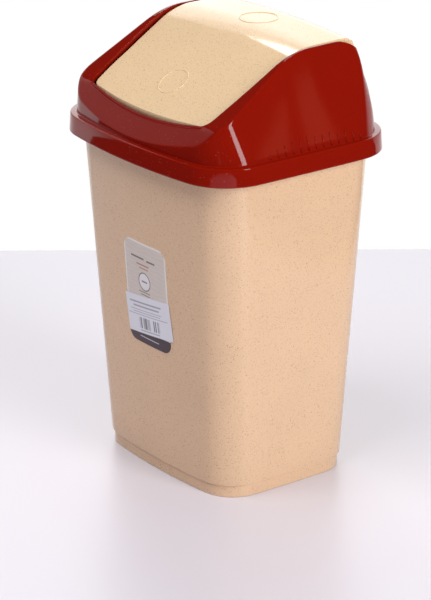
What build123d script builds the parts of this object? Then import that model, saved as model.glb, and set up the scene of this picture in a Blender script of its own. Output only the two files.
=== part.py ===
from build123d import *
import os
from math import atan2, degrees, radians, tan

os.makedirs("parts", exist_ok=True)

# Swing-lid bin in millimetres: +Z up, origin under the middle of the foot.
# The front, with the label, faces -Y; the flap swings about an axis along X.

# Bucket: foot band
foot_height = 9.6
foot_half_x = 79.0
foot_half_y = 61.6
foot_step = 1.5
foot_corner = 27.2
foot_bow = 5.8
foot_ring = 4.0
floor_lift = 2.0
floor_thickness = 2.2
step_thickness = 1.0

# Bucket: walls and rim
bucket_height = 257.6
bucket_wall = 1.8
mouth_half_x = 92.6
mouth_half_y = 79.4
mouth_corner = 29.1
mouth_bow = 10.8
side_bow = 1.1
rim_reach = 7.2
rim_thickness = 2.0
rim_drop = 8.0

# Cover: skirt and ledge
cover_wall = 1.8
skirt_gap = 0.4
skirt_pocket_draft = 0.1
skirt_flare = 0.8
skirt_height = 13.4
seat_gap = 0.2
ledge_thickness = 2.0
ledge_width = 5.2

# Cover: dome. The side view's corners are measured back from the dome's front and up from the ledge.
cheek_lean = 17.0
cheek_bow = 3.0
front_lean = 2.0
back_lean = 17.0
corner_back_lean = 3.8
dome_corner = 33.0
dome_top_corner = 10.0
least_radius = 1.5
dome_top_bow = 5.0
foot_back, foot_rise = 1.2, 4.5
shoulder_back, shoulder_rise = 15.1, 25.2
bend_back, bend_rise = 86.1, 67.5
shoulder_radius = 14.0
bend_radius = 60.0
back_radius = 20.0
back_overrun = 0.5

# Cover: mouth that the flap closes. Its sides bow out from narrower ends.
lip_back = 10.6
crown_border = 1.96
gate_front_taper = 4.7
gate_back_taper = 3.2
gate_wide_back = 88.6
gate_corner = 7.0
gate_back_rise = 28.2
return_wall = 1.6
return_depth = 6.0

# Flap. The side view of its middle is measured as the dome's is.
flap_gap = 2.0
flap_foot_rise = 20.7
flap_bend_back, flap_bend_rise = 93.8, 70.4
flap_bend_radius = 50.0
flap_back = 1.6
flap_camber = 3.0
flap_wall = 1.8
flap_web = 1.5
flap_web_depth = 6.5

# Pivot: stub axles on the flap in ears on the cover
pivot_back = 93.4
pivot_drop = 13.0
axle_radius = 3.0
axle_clearance = 0.08
axle_stand_out = 0.4
ear_radius = 7.5
ear_thickness = 1.8
collar_radius = 5.0
collar_gap = 0.3

# Round marks raised on the flap
mark_line = 0.9
mark_height = 0.4
mark_root = 0.5
front_mark_radius = 12.2
front_mark_back = 38.6
top_mark_radius = 14.4
top_mark_back = 115.1

# How far a cutting solid runs past the face that it cuts
overcut = 1.0

# Label and sticker on the front wall
label_gap = 0.05
label_thickness = 0.25
label_half_x = 25.0
label_middle_x = 2.0
label_low_z = 101.0
label_high_z = 181.0
label_corner = 8.0
sticker_width = 53.5
sticker_height = 29.2
sticker_middle = (2.8, 124.4)
sticker_turn = 6.0

# Heights and reaches that follow from the sizes above
ledge_under = bucket_height + seat_gap
ledge_z = ledge_under + ledge_thickness
skirt_low_z = ledge_z - skirt_height
rim_half_x = mouth_half_x + rim_reach
rim_half_y = mouth_half_y + rim_reach
rim_corner = mouth_corner + rim_reach
skirt_half_x = rim_half_x + skirt_gap + cover_wall
skirt_half_y = rim_half_y + skirt_gap + cover_wall
dome_half_x = skirt_half_x - ledge_width
dome_half_y = skirt_half_y - ledge_width
dome_foot = (foot_back - dome_half_y, ledge_z + foot_rise)
dome_shoulder = (shoulder_back - dome_half_y, ledge_z + shoulder_rise)
dome_bend = (bend_back - dome_half_y, ledge_z + bend_rise)
gate_half_x = dome_half_x - bend_rise * tan(radians(cheek_lean)) - crown_border
gate_front = dome_half_y - lip_back
gate_wide_y = gate_wide_back - dome_half_y
gate_back_z = ledge_z + gate_back_rise
flap_foot = (flap_gap - gate_front, ledge_z + flap_foot_rise)
flap_bend = (flap_bend_back - dome_half_y, ledge_z + flap_bend_rise)
pivot_y = pivot_back - dome_half_y
front_mark_y = front_mark_back - dome_half_y
top_mark_y = top_mark_back - dome_half_y
reach = 2 * skirt_half_x
above = 2 * flap_bend[1]


def outline(half_x, front, back, corner, bow, z, cheek=side_bow):
    """Level rounded rectangle with bowed sides."""
    side_x = half_x - cheek
    front_y, back_y = bow - front, back - bow
    middle_y = (front_y + back_y) / 2
    sides = [
        ThreePointArc((-side_x, front_y), (0, -front), (side_x, front_y)),
        ThreePointArc((side_x, front_y), (half_x, middle_y), (side_x, back_y)),
        ThreePointArc((side_x, back_y), (0, back), (-side_x, back_y)),
        ThreePointArc((-side_x, back_y), (-half_x, middle_y), (-side_x, front_y)),
    ]
    face = make_face(sides)
    return Pos(0, 0, z) * fillet(face.vertices(), corner)


def drafted(low, high):
    """Solid between two outlines with straight drafted walls."""
    return loft([low, high], ruled=True)


def wall_at(z, inset=0.0):
    """Outline of the bucket's outer wall at height z, moved inwards by inset."""
    low, high = foot_height, bucket_height
    share = (z - low) / (high - low)
    half_x = foot_half_x + foot_step + share * (mouth_half_x - foot_half_x - foot_step)
    half_y = foot_half_y + foot_step + share * (mouth_half_y - foot_half_y - foot_step)
    corner = foot_corner + foot_step + share * (mouth_corner - foot_corner - foot_step)
    bow = foot_bow + share * (mouth_bow - foot_bow)
    return outline(half_x - inset, half_y - inset, half_y - inset, corner - inset, bow, z)


def foot_at(z, inset=0.0):
    """Outline of the foot band at height z, moved inwards by inset."""
    half_y = foot_half_y - inset
    return outline(foot_half_x - inset, half_y, half_y, foot_corner - inset, foot_bow, z)


def rim_at(z, grow=0.0):
    """Outline of the rim's outer face at height z, moved outwards by grow."""
    half_y = rim_half_y + grow
    return outline(rim_half_x + grow, half_y, half_y, rim_corner + grow, mouth_bow, z)


def dome_shape(z):
    """Half width, bow across, bow of the cheeks and corner radius of the dome at height z."""
    rise = z - ledge_z
    share = rise / (dome_bend[1] - ledge_z)
    half_x = dome_half_x - rise * tan(radians(cheek_lean))
    bow = mouth_bow + share * (dome_top_bow - mouth_bow)
    cheek = side_bow + share * (cheek_bow - side_bow)
    corner = dome_corner + share * (dome_top_corner - dome_corner)
    return half_x, bow, cheek, corner


def leaning(lean, z):
    """Distance from the middle plane to a dome wall that leans inwards, at height z."""
    return dome_half_y - (z - ledge_z) * tan(radians(lean))


def dome_at(z, inset, side_inset, back_grow=0.0):
    """Outline of the dome's front, cheeks and corners at height z, moved inwards."""
    half_x, bow, cheek, corner = dome_shape(z)
    front = leaning(front_lean, z) - inset
    back = leaning(corner_back_lean, z) - inset + back_grow
    return outline(half_x - side_inset, front, back, max(corner - inset, least_radius), bow, z, cheek)


def back_at(z, inset, back_grow=0.0):
    """All that lies before the dome's bowed back at height z."""
    half_x, bow, cheek, _ = dome_shape(z)
    end_x = half_x - cheek
    back = leaning(back_lean, z) - inset + back_grow + back_overrun / 2
    face = make_face([
        ThreePointArc((end_x, back - bow), (0, back), (-end_x, back - bow)),
        Line((-end_x, back - bow), (-reach, back - bow)),
        Line((-reach, back - bow), (-reach, -reach)),
        Line((-reach, -reach), (reach, -reach)),
        Line((reach, -reach), (reach, back - bow)),
        Line((reach, back - bow), (end_x, back - bow)),
    ])
    return Pos(0, 0, z) * face


def dome_walls(low_z, inset, side_inset, back_grow=0.0):
    """Drafted dome from low_z to over the crown, its back cut by a surface that leans further."""
    high_z = flap_bend[1] + flap_gap
    walls = drafted(dome_at(low_z, inset, side_inset, back_grow), dome_at(high_z, inset, side_inset, back_grow))
    return walls & drafted(back_at(low_z, inset, back_grow), back_at(high_z, inset, back_grow))


def toward(start, end, height):
    """Point on the line from start through end that lies at the given height."""
    share = (height - start[1]) / (end[1] - start[1])
    return (start[0] + share * (end[0] - start[0]), height)


def moved_in(corners, inset):
    """Corners of a clockwise outline with every side moved inwards by inset."""
    result = []
    for before, corner, after in zip(corners[-1:] + corners[:-1], corners, corners[1:] + corners[:1]):
        into = (Vector(*corner) - Vector(*before)).normalized()
        out = (Vector(*after) - Vector(*corner)).normalized()
        across_both = Vector(into.Y + out.Y, -into.X - out.X)
        scale = inset / (1 + into.dot(out))
        result.append((corner[0] + scale * across_both.X, corner[1] + scale * across_both.Y))
    return result


def side_face(foot, turns, radii, crown_z, back_y, inset):
    """Side view of a dome: straight sides, rounded at the turns and at the back of the crown."""
    low = ledge_z - skirt_height
    back_lean_rate = tan(radians(back_lean))
    back_top = (back_y - (crown_z - ledge_z) * back_lean_rate, crown_z)
    back_foot = (back_y + (ledge_z - low) * back_lean_rate, low)
    corners = [toward(foot, turns[0], low)] + turns + [back_top, back_foot]
    corners = moved_in(corners, inset)
    face = make_face(Polyline(*corners, close=True))
    for corner, radius in zip(corners[1:], radii + [back_radius]):
        vertex = face.vertices().sort_by_distance((corner[0], corner[1], 0))[0]
        face = fillet(vertex, radius - inset)
    return face


def across(face, half_width=reach):
    """Side-view face made solid across the width."""
    return extrude(Plane.YZ * face, amount=half_width, both=True)


def box_between(low, high):
    """Block between two opposite corners."""
    size = [h - l for l, h in zip(low, high)]
    middle = [(h + l) / 2 for l, h in zip(low, high)]
    return Pos(*middle) * Box(*size)


def dome_solid(low_z, inset, side_inset):
    """Dome of the cover from low_z up, its surface moved inwards by inset, its cheeks by side_inset."""
    turns = [dome_shoulder, dome_bend]
    side = side_face(dome_foot, turns, [shoulder_radius, bend_radius], dome_bend[1], dome_half_y + back_overrun, inset)
    return dome_walls(low_z, inset, side_inset) & across(side)


def flap_side(drop, inset):
    """Side view of the flap with its crown lowered by drop, moved inwards by inset."""
    bend = (flap_bend[0], flap_bend[1] - drop)
    low_foot = toward(flap_foot, bend, ledge_z)
    return side_face(low_foot, [bend], [flap_bend_radius], bend[1], dome_half_y + flap_back + back_overrun, inset)


def flap_solid(inset=0.0):
    """Cambered dome whose surface is the flap's outside, moved inwards by inset."""
    half_width = gate_half_x + return_depth
    edge_drop = flap_camber * (half_width / gate_half_x) ** 2
    sections = [
        Plane.YZ.offset(-half_width) * flap_side(edge_drop, inset),
        Plane.YZ * flap_side(0, inset),
        Plane.YZ.offset(half_width) * flap_side(edge_drop, inset),
    ]
    return dome_walls(ledge_z, inset, 0, flap_back) & loft(sections)


def gate_prism(grow):
    """Upright prism over the mouth, larger by grow; at the back it ends at gate_back_z."""
    middle_x = gate_half_x + grow
    front_x, back_x = middle_x - gate_front_taper, middle_x - gate_back_taper
    front = gate_front + grow
    front_y = mouth_bow * (front_x / skirt_half_x) ** 2 - front
    back_y = skirt_half_y
    plan = make_face([
        ThreePointArc((-front_x, front_y), (0, -front), (front_x, front_y)),
        ThreePointArc((front_x, front_y), (middle_x, gate_wide_y), (back_x, back_y)),
        Line((back_x, back_y), (-back_x, back_y)),
        ThreePointArc((-back_x, back_y), (-middle_x, gate_wide_y), (-front_x, front_y)),
    ])
    plan = fillet(plan.vertices().sort_by(Axis.Y)[:2], gate_corner + grow)
    prism = extrude(Pos(0, 0, dome_foot[1]) * plan, amount=above - dome_foot[1])
    below = box_between((-reach, pivot_y, 0), (reach, reach, gate_back_z - grow))
    return prism - below


def make_bucket():
    rim_low, rim_under = bucket_height - rim_drop, bucket_height - rim_thickness
    foot = drafted(foot_at(0), foot_at(foot_height))
    wall = drafted(wall_at(foot_height), wall_at(rim_under))
    rim = drafted(rim_at(rim_low), rim_at(bucket_height))
    rim -= drafted(rim_at(rim_low, -bucket_wall), rim_at(rim_under, -bucket_wall))
    step_top = foot_height + step_thickness
    inside = drafted(foot_at(floor_lift + floor_thickness, bucket_wall), foot_at(step_top, bucket_wall))
    inside += drafted(wall_at(step_top, bucket_wall), wall_at(bucket_height, bucket_wall))
    under = drafted(foot_at(0, foot_ring), foot_at(floor_lift, foot_ring))
    return foot + wall + rim - inside - under


def pivot_point():
    """Pivot in side view, under the cover's crown."""
    return (pivot_y, dome_bend[1] - pivot_drop)


def ear(x_inner, thickness, radius):
    """Round-ended lug across X, hanging from the crown to the pivot."""
    y, z = pivot_point()
    lug = extrude(Plane.YZ * Pos(y, z) * Circle(radius), amount=thickness)
    stem = box_between((0, y - radius, z), (thickness, y + radius, above))
    return Pos(x_inner, 0, 0) * (lug + stem)


def axle(x_from, x_to, radius):
    """Round bar across X on the pivot."""
    bar = extrude(Plane.YZ * Pos(*pivot_point()) * Circle(radius), amount=x_to - x_from)
    return Pos(x_from, 0, 0) * bar


def both_sides(piece):
    """The piece and its mirror image across the middle."""
    return piece + mirror(piece, about=Plane.YZ)


def make_cover():
    dome = dome_solid(ledge_under, 0, 0)
    skirt_low = rim_at(skirt_low_z, skirt_gap + cover_wall)
    skirt_high = rim_at(ledge_z, skirt_gap + cover_wall - skirt_flare)
    outer = drafted(skirt_low, skirt_high) + dome
    pocket_low = rim_at(skirt_low_z - overcut, skirt_gap)
    pocket = drafted(pocket_low, rim_at(ledge_under, skirt_gap - skirt_pocket_draft))
    gate = gate_prism(0)
    flange = ((gate_prism(return_wall) - gate) & dome) - dome_solid(ledge_under, return_depth, 0)
    hollow = dome_solid(ledge_under - overcut, cover_wall, cover_wall)
    cover = outer - pocket - hollow - gate + flange
    lug = ear(gate_half_x, ear_thickness, ear_radius) & dome
    bore_end = gate_half_x + ear_thickness + overcut
    bore = axle(gate_half_x - overcut, bore_end, axle_radius + axle_clearance)
    return cover + both_sides(lug) - both_sides(bore)


def ring_mark(radius, y, z, lean):
    """Raised ring on the flap's surface, square to a surface that leans back by lean."""
    ring = extrude(Circle(radius) - Circle(radius - mark_line), amount=radius, both=True)
    ring = Pos(0, y, z) * Rot(lean, 0, 0) * ring
    return (ring & flap_solid(-mark_height)) - flap_solid(mark_root)


def make_flap():
    outside = flap_solid()
    plan = gate_prism(-flap_gap)
    skin = (plan & outside) - flap_solid(flap_wall)
    web = ((plan - gate_prism(-flap_gap - flap_web)) & outside) - flap_solid(flap_web_depth)
    half_x = gate_half_x - flap_gap
    lug = ear(half_x - flap_web, flap_web, ear_radius) & outside
    collar = axle(half_x - flap_web, gate_half_x - collar_gap, collar_radius)
    pin = axle(half_x - flap_web, gate_half_x + ear_thickness + axle_stand_out, axle_radius)
    rise = (flap_bend[1] - flap_foot[1]) / (flap_bend[0] - flap_foot[0])
    front_mark_z = flap_foot[1] + rise * (front_mark_y - flap_foot[0])
    front_mark = ring_mark(front_mark_radius, front_mark_y, front_mark_z, degrees(atan2(rise, 1)))
    top_mark = ring_mark(top_mark_radius, top_mark_y, flap_bend[1], 0)
    return skin + web + both_sides(lug + collar + pin) + front_mark + top_mark


def wall_skin(shape, low, thickness):
    """Thin skin over the bucket's front wall inside an upright outline."""
    outside = drafted(wall_at(foot_height, -low - thickness), wall_at(bucket_height, -low - thickness))
    inside = drafted(wall_at(foot_height, -low), wall_at(bucket_height, -low))
    prism = extrude(Plane.XZ * shape, amount=reach)
    return (outside & prism) - inside


def make_label():
    height = label_high_z - label_low_z
    middle_z = (label_high_z + label_low_z) / 2
    shape = Pos(label_middle_x, middle_z) * RectangleRounded(2 * label_half_x, height, label_corner)
    return wall_skin(shape, label_gap, label_thickness)


def make_sticker():
    shape = Pos(*sticker_middle) * Rot(0, 0, sticker_turn) * Rectangle(sticker_width, sticker_height)
    return wall_skin(shape, 2 * label_gap + label_thickness, label_thickness)


pieces = {
    "bin_body": make_bucket(),
    "lid_cover": make_cover(),
    "swing_flap": make_flap(),
    "product_label": make_label(),
    "barcode_sticker": make_sticker(),
}

for name, piece in pieces.items():
    print(name, "volume", round(piece.volume), "centre", piece.center(CenterOf.MASS))
    export_step(piece.solid(), "parts/" + name + ".step")
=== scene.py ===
from math import cos, pi, radians, sin, sqrt, tan

import bmesh
import bpy
import numpy as np
from mathutils import Matrix, Vector


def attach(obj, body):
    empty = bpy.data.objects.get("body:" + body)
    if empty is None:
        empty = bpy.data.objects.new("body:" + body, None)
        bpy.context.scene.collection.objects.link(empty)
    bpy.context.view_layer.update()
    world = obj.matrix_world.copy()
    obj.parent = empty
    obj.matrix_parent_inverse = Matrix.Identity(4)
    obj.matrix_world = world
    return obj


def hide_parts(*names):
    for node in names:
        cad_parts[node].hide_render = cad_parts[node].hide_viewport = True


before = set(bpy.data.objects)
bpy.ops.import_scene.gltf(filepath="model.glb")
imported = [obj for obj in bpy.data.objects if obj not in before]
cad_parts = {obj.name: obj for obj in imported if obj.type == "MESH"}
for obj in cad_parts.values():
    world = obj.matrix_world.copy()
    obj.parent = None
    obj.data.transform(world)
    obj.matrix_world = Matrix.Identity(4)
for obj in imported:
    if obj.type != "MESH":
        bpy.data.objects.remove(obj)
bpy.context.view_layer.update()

bl_info = {
    "name": "Swing-lid bin",
    "version": (1, 0, 0),
    "blender": (4, 5, 0),
    "location": "View3D > Sidebar > Bin",
    "description": "Builds a small kitchen bin with a domed cover and a swinging flap",
    "category": "Object",
}

MM = 0.001

# Bucket, in millimetres
FOOT_HEIGHT, FOOT_HALF_X, FOOT_HALF_Y = 9.6, 79.0, 61.6
FOOT_STEP, FOOT_CORNER, FOOT_BOW, FOOT_RING = 1.5, 27.2, 5.8, 4.0
FLOOR_LIFT, FLOOR_THICKNESS, STEP_THICKNESS = 2.0, 2.2, 1.0
UNDER_INSET, FLOOR_INSET = 2.0, 8.0
BUCKET_HEIGHT, BUCKET_WALL = 257.6, 1.8
MOUTH_HALF_X, MOUTH_HALF_Y, MOUTH_CORNER, MOUTH_BOW = 92.6, 79.4, 29.1, 10.8
SIDE_BOW, RIM_REACH, RIM_THICKNESS, RIM_DROP = 1.1, 7.2, 2.0, 8.0

# Cover, in millimetres; the side view's points are (y, z)
COVER_WALL, SKIRT_GROW, SKIRT_FLARE = 1.8, 2.2, 0.8
SKIRT_LOW_Z, LEDGE_Z = 246.4, 259.8
DOME_HALF_X, DOME_HALF_Y = 96.8, 83.6
CHEEK_LEAN, CHEEK_BOW, FRONT_LEAN, BACK_LEAN, CORNER_BACK_LEAN = 17.0, 3.0, 2.0, 17.0, 3.8
DOME_CORNER, DOME_TOP_CORNER, DOME_TOP_BOW = 33.0, 10.0, 5.0
DOME_FOOT, DOME_SHOULDER, DOME_BEND = (-82.4, 264.3), (-68.5, 285.0), (2.5, 327.3)
SHOULDER_RADIUS, BEND_RADIUS, BACK_RADIUS = 14.0, 60.0, 32.0
BACK_STAND_OFF, FOLD_SOFTNESS, FOLD_RISE, PATH_DEPTH = 0.5, 4.0, 25.0, 10.0
SKIRT_SHARES, LEDGE_TURN, SHOULDER_TURN, LIP_TURN = (0.0, 0.05, 0.10, 0.5, 1.0), 1.0, 2.0, 0.9
GATE_FRONT, GATE_FRONT_HALF_X, GATE_HALF_X = 73.0, 69.5, 74.2
GATE_WIDE_Y, GATE_BACK_HALF_X, GATE_CORNER, GATE_BACK_Z = 5.0, 71.0, 7.0, 288.0
GATE_BACK_Y, RETURN_DEPTH = 88.8, 6.0

# Flap, in millimetres
FLAP_GAP, FLAP_FOOT, FLAP_BEND = 2.0, (-71.0, 280.5), (10.2, 330.2)
FLAP_BEND_RADIUS, FLAP_BACK_RADIUS, FLAP_BACK, FLAP_CAMBER = 50.0, 20.0, 1.6, 3.0
FLAP_WALL, FLAP_WEB_DEPTH = 1.8, 6.5
PIVOT_Y, PIVOT_Z = 9.8, 314.3
AXLE_RADIUS, EAR_RADIUS, EAR_THICKNESS, COLLAR_RADIUS = 3.0, 7.5, 1.8, 5.0

# Joints of the flap with the cover, in millimetres
BORE_CLEARANCE, EAR_TOP_GAP, EAR_SPREAD = 0.1, 2.5, 1.5
COLLAR_INSET, COLLAR_GAP, COLLAR_TURN, AXLE_STAND_OUT, AXLE_TURN, AXLE_CORE = 1.5, 0.3, 0.3, 0.4, 0.5, 0.01

# Raised rings on the flap as (radius, middle y, lean in degrees), and their section as (inset, height)
RINGS = [(12.2, -45.0, 31.5), (14.4, 31.5, 0.0)]
RING_SECTION = ((0, -0.2), (0.12, 0.28), (0.32, 0.4), (0.58, 0.4), (0.78, 0.28), (0.9, -0.2), (0, -0.2))

# Fineness of the meshes: counts of steps, then places where steps change, as t or in millimetres
SOLVE_STEPS, ROUND_STEPS, RING_STEPS = 40, 32, 96
TURN_SHARES, TURN_MOST = (0, 0.25, 0.5, 0.75, 1), 0.45
WALL_FROM_Z, WALL_TOP_GAP, OUTSIDE_ROWS, INSIDE_ROWS = 30.0, 20.0, 7, 5
BUCKET_STEPS, EDGE_STEPS, FLAP_STEPS = [14, 12, 16, 12, 14], [46, 9, 24], [40, 8, 1]
BACK_STEPS, POST_STEPS, WALL_ROWS, BAND_ROWS, LIP_STEPS, RUN_STEPS = 14, 12, 14, 4, 5, 300
FOOT_MARKS, SHOULDER_MARKS, CORNER_FOOT_X = [1.62, 3.22, 3.78, 5.0], [3.28, 3.80, 5.0], 66.0
BACK_SHARE, POST_SHARE = 0.75, 0.98
FLAP_FADE_Y, FLAP_FINE_Y, FLAP_TAIL_Y, FLAP_NARROW_Y, FLAP_FROM_Y = -30.0, -45.0, 48.0, 76.0, 60.0
FLAP_FRONT_ROWS, FLAP_ROWS = 8, 40
FLAP_ACROSS = np.concatenate([[-1, -0.985], np.linspace(-0.95, 0.95, 39), [0.985, 1]])
TAIL_STEP, TAIL_LEAST, DROP_FADE, FLAP_SOFTNESS = 3.0, 0.8, 12.0, 3.0

# Printing on the label and the sticker, in millimetres on the front wall; a bar is
# (middle x, middle z, half x, half z)
PRINT_SOFTNESS = 0.25
LABEL_FACE, LABEL_BAND_Z, LABEL_BAND_SOFTNESS = (2.0, 141.0, 23.8, 38.8), 111.0, 0.3
LABEL_RING_MIDDLE, LABEL_RING_RADIUS, LABEL_RING_WIDTH = (0.5, 150.8), 6.8, 0.55
LABEL_DARK_BARS = [(-6.5, 168.5, 8.0, 0.8), (9.5, 168.0, 5.0, 0.8), (0.5, 150.8, 3.4, 0.7),
                   (-0.2, 142.4, 7.0, 0.45), (0.6, 140.2, 5.4, 0.45)]
LABEL_RED_BARS = [(-0.5, 163.6, 7.6, 0.65), (0.6, 161.0, 5.6, 0.55)]
LABEL_PALE_BAR = (2.0, 106.0, 11.5, 0.5)
STICKER_MIDDLE, STICKER_TURN = (2.8, 124.4), 6.0
STICKER_ROWS = [(-2.6, 9.2, 19.5, 0.75), (-1.8, 6.2, 16.0, 0.75), (-2.6, 3.3, 19.0, 0.38),
                (-2.2, 1.5, 17.0, 0.38), (-1.0, -0.4, 24.0, 0.38), (0.0, -12.4, 12.0, 0.5)]
STICKER_ROW_INK, STICKER_BAR_INK = 0.55, 0.8
STICKER_BAR_STEP, STICKER_BAR_SHARE, STICKER_SEED = 0.42, 0.48, 11.0
STICKER_BAR_FIELD = [(-5.6, -6.6, 7.0, 4.4), (8.4, -6.6, 4.6, 4.4)]

CREAM, GRAIN, BORDER = (0.74, 0.66, 0.60), (0.62, 0.53, 0.46), (0.90, 0.86, 0.82)
BAND_INK, RING_PAPER, DARK_INK = (0.060, 0.032, 0.045), (0.88, 0.85, 0.86), (0.10, 0.06, 0.06)
RED_INK, PALE_INK = (0.42, 0.06, 0.05), (0.75, 0.72, 0.74)
STICKER_PAPER, STICKER_INK = (0.83, 0.83, 0.90), (0.07, 0.06, 0.09)

# Surfaces: shares of the sand colour's parts in the flap, which make the flap a lighter copy of the bucket's
# plastic as painted light, then roughness and gloss
FLAP_PAINTED_LIGHT_TINT = (1.14, 1.21, 1.17)
BUCKET_FINISH, FLAP_FINISH = (0.13, 0.5), (0.12, 0.42)
DARK_FLECKS, FINE_FLECKS = 0.42, 0.20
DUST_FRONT, DUST_ALL, DUST_ROUGH, SMEAR_ROUGH, PAPER_ROUGH = 0.45, 0.05, 0.4, 0.05, 0.38
DUST_COLOUR, DUST_FROM_Y, DUST_FULL_Y, COVER_GLOSS = (0.55, 0.40, 0.34), -0.045, -0.075, 0.4
GRAIN_SHARE, HUNDREDTHS = 0.25, 100.0

# Stage: shares of light, the table's half width and back edge in metres, the camera's azimuth,
# elevation and roll in degrees and its place in metres, and the backdrop's direction
FLOOR_GLOW, WORLD_LIGHT = 0.12, 0.245
FLOOR_HALF, FLOOR_BACK = 3.0, 0.438
CAMERA_ANGLES, CAMERA_AWAY, CAMERA_AIM_Z, CAMERA_ASIDE = (53.270, 20.953, -0.219), 2.2141, 0.120, 0.00675
CAMERA_LENS, CAMERA_SENSOR, CAMERA_FAR, LAMP_AIM = 180.0, 36.0, 50.0, (0.0, 0.0, 0.2)
BACKDROP_WAY, BACKDROP_SIDES = (-0.80, 0.60, 0.0), (0.25, 0.45)
BACKDROP_TOP, BACKDROP_SOFTNESS = 0.52, 0.03
FLOOR_COLOUR, FLOOR_SHINE = (0.76, 0.70, 0.78, 1.0), (0.93, 1.0, 0.99, 1.0)
ROOM_COLOUR, WORLD_COLOUR = (0.05, 0.045, 0.045), (0.95, 0.97, 1.0, 1.0)
# Lamps as (name, place in metres, size in metres, watts, whether it shows in reflections)
LAMPS = [("key", (1.90, 0.20, 0.90), (1.0, 1.0), 17.5, False),
         ("overhead", (0.0, -0.95, 1.95), (1.3, 1.2), 21.5, False),
         ("backdrop", (-1.60, 1.20, 1.10), (1.8, 1.5), 10.5, True),
         ("rear", (-1.22, 0.48, 1.63), (0.35, 0.25), 3.0, True),
         ("window", (1.90, 0.20, 0.95), (0.45, 1.0), 11.0, True)]
# Table edges to the left and right of the bin as mirrored in it, in metres, and windows of the room
# (sideways, height, half width, half height), in hundredths
TABLE_LEFT, TABLE_RIGHT = -0.677, 0.43
WINDOW_WAY = (-0.558, 0.82, 0.0)
WINDOWS = [(0.5, 14.0, 2.5, 4.0), (6.5, 14.0, 1.8, 4.0)]
WINDOW_COLOUR = (0.9, 0.32, 0.2)

# Short upright ribs along the foot of each cheek, in millimetres
RIB_INPUTS = [("Count", "Int", 13), ("Sides", "Int", 12), ("Seed", "Int", 7),
              ("Material", "Material", None), ("Lean", "Float", radians(CHEEK_LEAN))]
RIB_INPUTS += [(name, "Float", value * MM) for name, value in (
    ("Step", 6.7), ("First Y", -32.0), ("Low Z", 260.2), ("Foot X", DOME_HALF_X), ("Bow", SIDE_BOW),
    ("Half Length", DOME_HALF_Y - MOUTH_BOW), ("Width", 0.7), ("Short", 4.0), ("Tall", 10.0))]
RIB_LEAST, RIB_MOST, RIB_STEEP = 0.85, 1.15, 0.7


class BinSettings(bpy.types.PropertyGroup):
    """Colours and surface values that a user may change."""
    sand: bpy.props.FloatVectorProperty(
        name="Sand plastic", description="Colour of the bucket and the flap",
        subtype="COLOR", size=3, default=(0.80, 0.545, 0.345))
    red: bpy.props.FloatVectorProperty(
        name="Cover plastic", description="Colour of the cover",
        subtype="COLOR", size=3, default=(0.24, 0.0055, 0.0008))
    fleck: bpy.props.FloatVectorProperty(
        name="Flecks", description="Colour of the small flecks in the sand plastic",
        subtype="COLOR", size=3, default=(0.22, 0.11, 0.045))
    edge_radius: bpy.props.FloatProperty(
        name="Edge rounding", description="Rounding of the cover's outer edges, in millimetres",
        default=1.2, min=0.2, max=2.0)


# Outlines


def meet(centre_a, radius_a, centre_b, radius_b, toward):
    """Crossing of two circles that lies furthest toward a direction."""
    a, b = np.array(centre_a), np.array(centre_b)
    gap = b - a
    distance = np.hypot(*gap)
    along = (radius_a ** 2 - radius_b ** 2 + distance ** 2) / (2 * distance)
    aside = sqrt(max(radius_a ** 2 - along ** 2, 0.0))
    unit = gap / distance
    side = np.array([-unit[1], unit[0]])
    both = [a + along * unit + s * aside * side for s in (-1, 1)]
    return max(both, key=lambda p: p @ np.array(toward))


def arc_radius(half_chord, bow):
    """Radius of the arc that bows so far over half a chord."""
    return (half_chord ** 2 + bow ** 2) / (2 * bow)


def bearing(centre, point):
    """Angle of a point seen from a centre."""
    return np.arctan2(point[1] - centre[1], point[0] - centre[0])


class HalfOutline:
    """Right half of a bowed rounded rectangle; t runs 0 to 5 from the back's middle to the front's."""

    def __init__(self, half_x, front, back, corner, bow, cheek=SIDE_BOW):
        front_y, back_y = bow - front, back - bow
        long_radius = arc_radius(half_x - cheek, bow)
        side_radius = arc_radius((back_y - front_y) / 2, cheek)
        back_centre = (0.0, back - long_radius)
        front_centre = (0.0, long_radius - front)
        side_centre = (half_x - side_radius, (front_y + back_y) / 2)
        rear = meet(back_centre, long_radius - corner, side_centre, side_radius - corner, (1, 1))
        fore = meet(front_centre, long_radius - corner, side_centre, side_radius - corner, (1, -1))
        turns = [pi / 2, bearing(back_centre, rear), bearing(side_centre, rear),
                 bearing(side_centre, fore), bearing(front_centre, fore), -pi / 2]
        centres = [back_centre, rear, side_centre, fore, front_centre]
        radii = [long_radius, corner, side_radius, corner, long_radius]
        self.arcs = [(c, r, turns[i], turns[i + 1]) for i, (c, r) in enumerate(zip(centres, radii))]

    def at(self, t):
        """Point at t."""
        index = min(int(t), 4)
        centre, radius, start, end = self.arcs[index]
        angle = start + (t - index) * (end - start)
        return (centre[0] + radius * cos(angle), centre[1] + radius * sin(angle))


def symmetric(half_x, half_y, corner, bow):
    """Outline whose front and back are alike."""
    return HalfOutline(half_x, half_y, half_y, corner, bow)


def wall_outline(z, inset=0.0):
    """Bucket's wall at height z."""
    share = (z - FOOT_HEIGHT) / (BUCKET_HEIGHT - FOOT_HEIGHT)
    low = (FOOT_HALF_X + FOOT_STEP, FOOT_HALF_Y + FOOT_STEP, FOOT_CORNER + FOOT_STEP, FOOT_BOW)
    high = (MOUTH_HALF_X, MOUTH_HALF_Y, MOUTH_CORNER, MOUTH_BOW)
    half_x, half_y, corner, bow = [a + share * (b - a) for a, b in zip(low, high)]
    return symmetric(half_x - inset, half_y - inset, corner - inset, bow)


def foot_outline(inset=0.0):
    """Bucket's foot band."""
    return symmetric(FOOT_HALF_X - inset, FOOT_HALF_Y - inset, FOOT_CORNER - inset, FOOT_BOW)


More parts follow.
